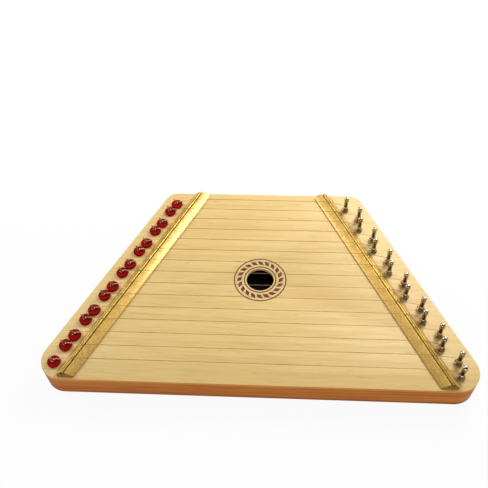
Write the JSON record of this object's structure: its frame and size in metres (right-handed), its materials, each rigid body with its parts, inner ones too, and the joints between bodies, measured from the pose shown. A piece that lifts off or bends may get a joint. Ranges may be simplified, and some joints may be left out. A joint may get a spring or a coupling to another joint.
{
  "type": "lap harp",
  "caption": "Trapezoid box zither for the lap: strings run from hitch pins over two brass-topped bridges to turning wrest pins.",
  "frame": {"origin": "centre of the underside", "axes": "+X along the strings towards the tuning pins, +Y towards the short back edge, +Z out of the soundboard"},
  "size_m": [0.4518, 0.267, 0.0506],
  "materials": {
    "soundboard_wood": "satin lacquer",
    "back_wood": "satin lacquer",
    "side_wood": "reddish-brown lacquer",
    "brace_wood": "bare",
    "gold_lacquer": "golden gloss lacquer",
    "brass_rod": "drawn",
    "string_steel": "drawn wire",
    "red_felt": "felt",
    "tuning_pin_nickel": "nickel plate"
  },
  "bodies": {
    "harp_body": {"soundboard": "soundboard_wood", "back_board": "back_wood", "front_rib": "side_wood", "back_rib": "side_wood", "hitch_pin_block": "side_wood", "tuning_pin_block": "side_wood", "left_brace": "brace_wood", "right_brace": "brace_wood", "left_bridge": "gold_lacquer", "right_bridge": "gold_lacquer", "left_bridge_rod": "brass_rod", "right_bridge_rod": "brass_rod", "string_01": "string_steel", "string_02": "string_steel", "string_03": "string_steel", "string_04": "string_steel", "string_05": "string_steel", "string_06": "string_steel", "string_07": "string_steel", "string_08": "string_steel", "string_09": "string_steel", "string_10": "string_steel", "string_11": "string_steel", "string_12": "string_steel", "string_13": "string_steel", "string_14": "string_steel", "string_15": "string_steel", "felt_washer_01": "red_felt", "felt_washer_02": "red_felt", "felt_washer_03": "red_felt", "felt_washer_04": "red_felt", "felt_washer_05": "red_felt", "felt_washer_06": "red_felt", "felt_washer_07": "red_felt", "felt_washer_08": "red_felt", "felt_washer_09": "red_felt", "felt_washer_10": "red_felt", "felt_washer_11": "red_felt", "felt_washer_12": "red_felt", "felt_washer_13": "red_felt", "felt_washer_14": "red_felt", "felt_washer_15": "red_felt"},
    "tuning_pin_01_turning": {"tuning_pin_01": "tuning_pin_nickel"},
    "tuning_pin_02_turning": {"tuning_pin_02": "tuning_pin_nickel"},
    "tuning_pin_03_turning": {"tuning_pin_03": "tuning_pin_nickel"},
    "tuning_pin_04_turning": {"tuning_pin_04": "tuning_pin_nickel"},
    "tuning_pin_05_turning": {"tuning_pin_05": "tuning_pin_nickel"},
    "tuning_pin_06_turning": {"tuning_pin_06": "tuning_pin_nickel"},
    "tuning_pin_07_turning": {"tuning_pin_07": "tuning_pin_nickel"},
    "tuning_pin_08_turning": {"tuning_pin_08": "tuning_pin_nickel"},
    "tuning_pin_09_turning": {"tuning_pin_09": "tuning_pin_nickel"},
    "tuning_pin_10_turning": {"tuning_pin_10": "tuning_pin_nickel"},
    "tuning_pin_11_turning": {"tuning_pin_11": "tuning_pin_nickel"},
    "tuning_pin_12_turning": {"tuning_pin_12": "tuning_pin_nickel"},
    "tuning_pin_13_turning": {"tuning_pin_13": "tuning_pin_nickel"},
    "tuning_pin_14_turning": {"tuning_pin_14": "tuning_pin_nickel"},
    "tuning_pin_15_turning": {"tuning_pin_15": "tuning_pin_nickel"}
  },
  "joints": [
    {"name": "tuning_pin_01_turn", "type": "hinge", "parent": "harp_body", "child": "tuning_pin_01_turning", "pos_m": [0.10322, 0.1095, 0.0283], "axis": [0, 0, -1], "range_deg": [-900, 90]},
    {"name": "tuning_pin_02_turn", "type": "hinge", "parent": "harp_body", "child": "tuning_pin_02_turning", "pos_m": [0.11819, 0.09325, 0.0283], "axis": [0, 0, -1], "range_deg": [-900, 90]},
    {"name": "tuning_pin_03_turn", "type": "hinge", "parent": "harp_body", "child": "tuning_pin_03_turning", "pos_m": [0.11781, 0.077, 0.0283], "axis": [0, 0, -1], "range_deg": [-900, 90]},
    {"name": "tuning_pin_04_turn", "type": "hinge", "parent": "harp_body", "child": "tuning_pin_04_turning", "pos_m": [0.13277, 0.06075, 0.0283], "axis": [0, 0, -1], "range_deg": [-900, 90]},
    {"name": "tuning_pin_05_turn", "type": "hinge", "parent": "harp_body", "child": "tuning_pin_05_turning", "pos_m": [0.13239, 0.0445, 0.0283], "axis": [0, 0, -1], "range_deg": [-900, 90]},
    {"name": "tuning_pin_06_turn", "type": "hinge", "parent": "harp_body", "child": "tuning_pin_06_turning", "pos_m": [0.14735, 0.02825, 0.0283], "axis": [0, 0, -1], "range_deg": [-900, 90]},
    {"name": "tuning_pin_07_turn", "type": "hinge", "parent": "harp_body", "child": "tuning_pin_07_turning", "pos_m": [0.14697, 0.012, 0.0283], "axis": [0, 0, -1], "range_deg": [-900, 90]},
    {"name": "tuning_pin_08_turn", "type": "hinge", "parent": "harp_body", "child": "tuning_pin_08_turning", "pos_m": [0.16194, -0.00425, 0.0283], "axis": [0, 0, -1], "range_deg": [-900, 90]},
    {"name": "tuning_pin_09_turn", "type": "hinge", "parent": "harp_body", "child": "tuning_pin_09_turning", "pos_m": [0.16156, -0.0205, 0.0283], "axis": [0, 0, -1], "range_deg": [-900, 90]},
    {"name": "tuning_pin_10_turn", "type": "hinge", "parent": "harp_body", "child": "tuning_pin_10_turning", "pos_m": [0.17652, -0.03675, 0.0283], "axis": [0, 0, -1], "range_deg": [-900, 90]},
    {"name": "tuning_pin_11_turn", "type": "hinge", "parent": "harp_body", "child": "tuning_pin_11_turning", "pos_m": [0.17614, -0.053, 0.0283], "axis": [0, 0, -1], "range_deg": [-900, 90]},
    {"name": "tuning_pin_12_turn", "type": "hinge", "parent": "harp_body", "child": "tuning_pin_12_turning", "pos_m": [0.1911, -0.06925, 0.0283], "axis": [0, 0, -1], "range_deg": [-900, 90]},
    {"name": "tuning_pin_13_turn", "type": "hinge", "parent": "harp_body", "child": "tuning_pin_13_turning", "pos_m": [0.19072, -0.0855, 0.0283], "axis": [0, 0, -1], "range_deg": [-900, 90]},
    {"name": "tuning_pin_14_turn", "type": "hinge", "parent": "harp_body", "child": "tuning_pin_14_turning", "pos_m": [0.20568, -0.10175, 0.0283], "axis": [0, 0, -1], "range_deg": [-900, 90]},
    {"name": "tuning_pin_15_turn", "type": "hinge", "parent": "harp_body", "child": "tuning_pin_15_turning", "pos_m": [0.2053, -0.118, 0.0283], "axis": [0, 0, -1], "range_deg": [-900, 90]}
  ]
}
